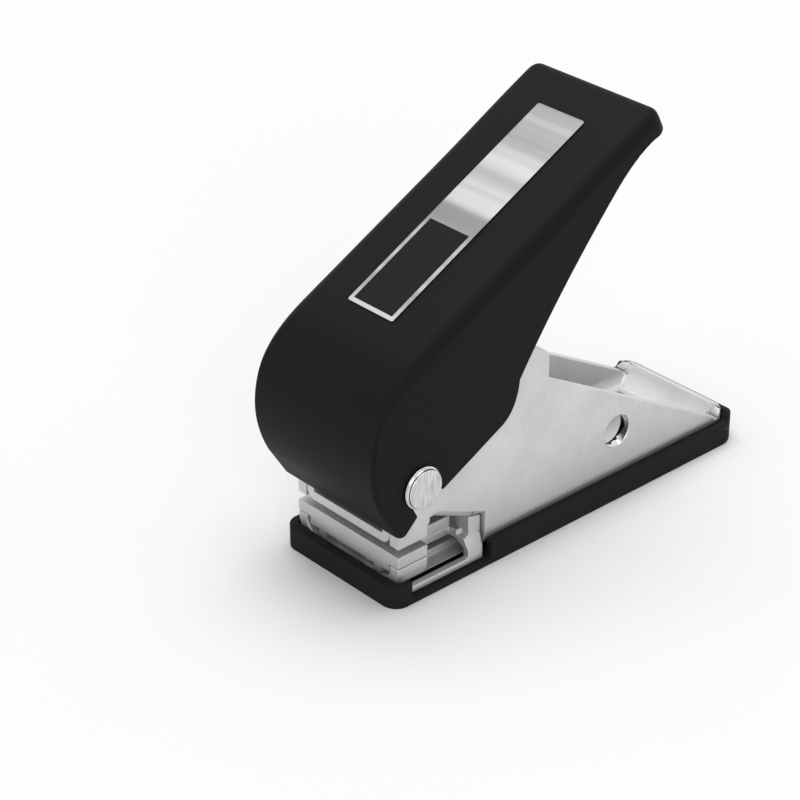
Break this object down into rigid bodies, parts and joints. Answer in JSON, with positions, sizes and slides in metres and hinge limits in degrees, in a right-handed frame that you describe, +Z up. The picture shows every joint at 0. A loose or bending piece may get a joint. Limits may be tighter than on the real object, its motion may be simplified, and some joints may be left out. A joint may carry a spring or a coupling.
{
  "type": "dart flight punch",
  "caption": "Small hand punch for dart flights: steel channel frame in a rubber boot, plastic-covered lever and sprung round punch.",
  "frame": {"origin": "centre of the boot's flat underside", "axes": "+X across the frame, +Y along it from the jaws to the rear, +Z up"},
  "size_m": [0.022, 0.0617, 0.0501],
  "materials": {
    "plated_steel": "bright nickel plated pressed sheet",
    "bright_steel": "turned and brushed",
    "tool_steel": "hardened, black oxide",
    "spring_wire": "drawn spring wire",
    "silver_foil": "satin foil",
    "handle_plastic": "satin moulded black",
    "black_nylon": "moulded, matt",
    "black_rubber": "moulded, matt"
  },
  "bodies": {
    "base": {"base_boot": "black_rubber", "frame_channel": "plated_steel", "guide_bracket": "plated_steel", "guide_block": "black_nylon", "guide_bush": "tool_steel", "die_saddle": "plated_steel", "die_plate": "plated_steel", "die_bush": "tool_steel", "die_rivet_left": "bright_steel", "die_rivet_right": "bright_steel", "return_spring": "spring_wire", "pivot_pin": "bright_steel", "pivot_cap": "bright_steel", "pivot_collar_left": "plated_steel", "pivot_collar_right": "plated_steel"},
    "handle": {"handle_cover": "handle_plastic", "foil_label": "silver_foil", "lever": "plated_steel", "press_pin": "bright_steel", "pivot_sleeve": "plated_steel", "cover_screw_front": "bright_steel", "cover_screw_rear": "bright_steel"},
    "punch": {"punch_pin": "tool_steel"}
  },
  "joints": [
    {"name": "handle_pivot", "type": "hinge", "parent": "base", "child": "handle", "pos_m": [0, -0.02548, 0.0154], "axis": [-1, 0, 0], "range_deg": [0, 24], "stiffness_Nm_per_rad": 0.09, "springref_deg": -8.59},
    {"name": "punch_slide", "type": "slide", "parent": "base", "child": "punch", "axis": [0, 0, -1], "range_m": [0, 0.003], "deforming": ["return_spring"]}
  ],
  "couplings": [
    {"joint": "punch_slide", "follows": "handle_pivot", "m_per_rad": 0.007}
  ]
}
